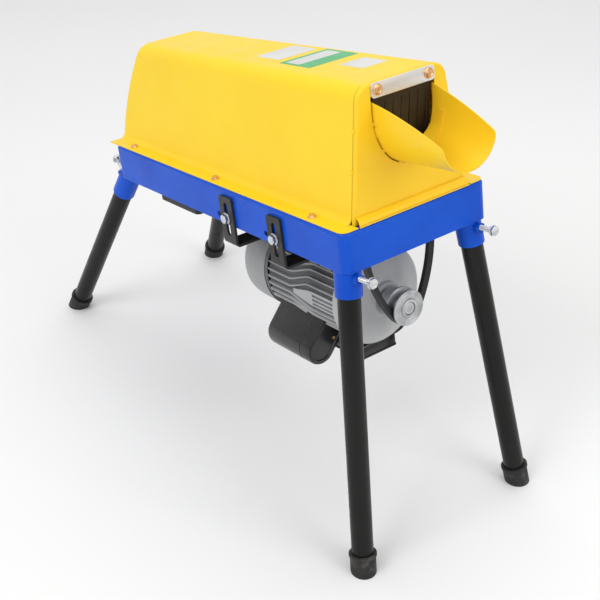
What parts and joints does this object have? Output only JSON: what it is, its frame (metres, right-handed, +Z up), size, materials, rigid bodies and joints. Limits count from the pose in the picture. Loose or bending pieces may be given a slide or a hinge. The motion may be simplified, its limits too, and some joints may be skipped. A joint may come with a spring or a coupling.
{
  "type": "electric maize sheller",
  "caption": "Maize ear sheller: sheet hood over a pegged drum on a tilted sheet frame with splayed tube legs, feed scoop, rubber curtain and a belt-driving motor slung below.",
  "frame": {"origin": "centre of the footprint's bounding box, on the floor", "axes": "+X towards the feed end, +Y to the far long side, +Z up; the deck is tipped 9.6 degrees, feed end up"},
  "size_m": [0.9164, 0.3544, 0.6773],
  "materials": {
    "blue_paint": "gloss powder coat",
    "yellow_paint": "gloss paint on sheet",
    "black_paint": "satin black paint",
    "leg_black": "satin black tube",
    "rubber": "matte",
    "belt_rubber": "matte",
    "zinc": "bright zinc plate",
    "yellow_zinc": "yellow zinc plate",
    "cast_grey": "painted casting",
    "steel": "ground steel",
    "drum_grey": "worn paint",
    "pulley_alloy": "turned",
    "motor_alloy": "grey paint on cast fins",
    "bell_alloy": "light grey paint",
    "black_plastic": "satin moulded",
    "can": "drawn can",
    "lead": "sleeved lead"
  },
  "bodies": {
    "frame": {"frame_rim": "blue_paint", "frame_skirt": "blue_paint", "crossbar_front": "blue_paint", "crossbar_rear": "blue_paint", "hood": "yellow_paint", "end_plate": "yellow_paint", "feed_scoop": "yellow_paint", "feed_floor": "yellow_paint", "curtain_strip": "zinc", "curtain_clamp_edge": "rubber", "strip_bolts": "yellow_zinc", "cob_chute": "black_paint", "concave_sieve": "black_paint", "kernel_slide": "black_paint", "kernel_chute": "black_paint", "bearing_bolts": "zinc", "v_belt": "belt_rubber", "bearing_housing_front": "cast_grey", "bearing_insert_front": "steel", "bearing_housing_rear": "cast_grey", "bearing_insert_rear": "steel", "flange_screws_near": "yellow_zinc", "hanger_bolts_near": "zinc", "socket_front_near": "blue_paint", "clamp_bolt_front_near": "zinc", "socket_rear_near": "blue_paint", "clamp_bolt_rear_near": "zinc", "flange_screws_far": "yellow_zinc", "hanger_bolts_far": "zinc", "socket_front_far": "blue_paint", "clamp_bolt_front_far": "zinc", "socket_rear_far": "blue_paint", "clamp_bolt_rear_far": "zinc"},
    "drum": {"drum_shell": "drum_grey", "drum_shaft": "steel", "drum_pulley": "pulley_alloy"},
    "motor_carriage": {"motor_strap_front": "black_paint", "motor_strap_rear": "black_paint", "motor_foot_bolts": "zinc", "stator_housing": "motor_alloy", "stator_core": "steel", "front_bell": "bell_alloy", "rear_bell": "bell_alloy", "capacitor_cover": "black_plastic", "capacitor": "can", "terminal_box": "black_plastic", "terminal_lid": "black_plastic", "lead_loop": "lead"},
    "motor_rotor": {"rotor_core": "steel", "motor_shaft": "steel", "motor_pulley": "pulley_alloy"},
    "curtain": {"curtain_flaps": "rubber"},
    "leg_front_near": {"leg_front_near": "leg_black", "foot_front_near": "rubber"},
    "leg_front_far": {"leg_front_far": "leg_black", "foot_front_far": "rubber"},
    "leg_rear_near": {"leg_rear_near": "leg_black", "foot_rear_near": "rubber"},
    "leg_rear_far": {"leg_rear_far": "leg_black", "foot_rear_far": "rubber"}
  },
  "joints": [
    {"name": "drum_spin", "type": "hinge", "parent": "frame", "child": "drum", "pos_m": [0.04014, 0, 0.45255], "axis": [0.986, 0, 0.1668], "continuous": true},
    {"name": "motor_adjust", "type": "slide", "parent": "frame", "child": "motor_carriage", "axis": [-0.1668, 0, 0.986], "range_m": [-0.005, 0.005], "deforming": ["v_belt"]},
    {"name": "motor_spin", "type": "hinge", "parent": "motor_carriage", "child": "motor_rotor", "pos_m": [0.06783, 0.004, 0.28887], "axis": [0.986, 0, 0.1668], "continuous": true},
    {"name": "curtain_swing", "type": "hinge", "parent": "frame", "child": "curtain", "pos_m": [0.30533, 0, 0.65805], "axis": [0, 1, 0], "range_deg": [0, 75]},
    {"name": "leg_slide_front_near", "type": "slide", "parent": "frame", "child": "leg_front_near", "axis": [0.23, -0.1071, -0.9673], "range_m": [0, 0.02]},
    {"name": "leg_slide_front_far", "type": "slide", "parent": "frame", "child": "leg_front_far", "axis": [0.23, 0.1071, -0.9673], "range_m": [0, 0.02]},
    {"name": "leg_slide_rear_near", "type": "slide", "parent": "frame", "child": "leg_rear_near", "axis": [-0.4596, -0.1341, -0.8779], "range_m": [0, 0.02]},
    {"name": "leg_slide_rear_far", "type": "slide", "parent": "frame", "child": "leg_rear_far", "axis": [-0.4596, 0.1341, -0.8779], "range_m": [0, 0.02]}
  ],
  "couplings": [
    {"joint": "motor_spin", "follows": "drum_spin", "ratio": 2.3043}
  ]
}
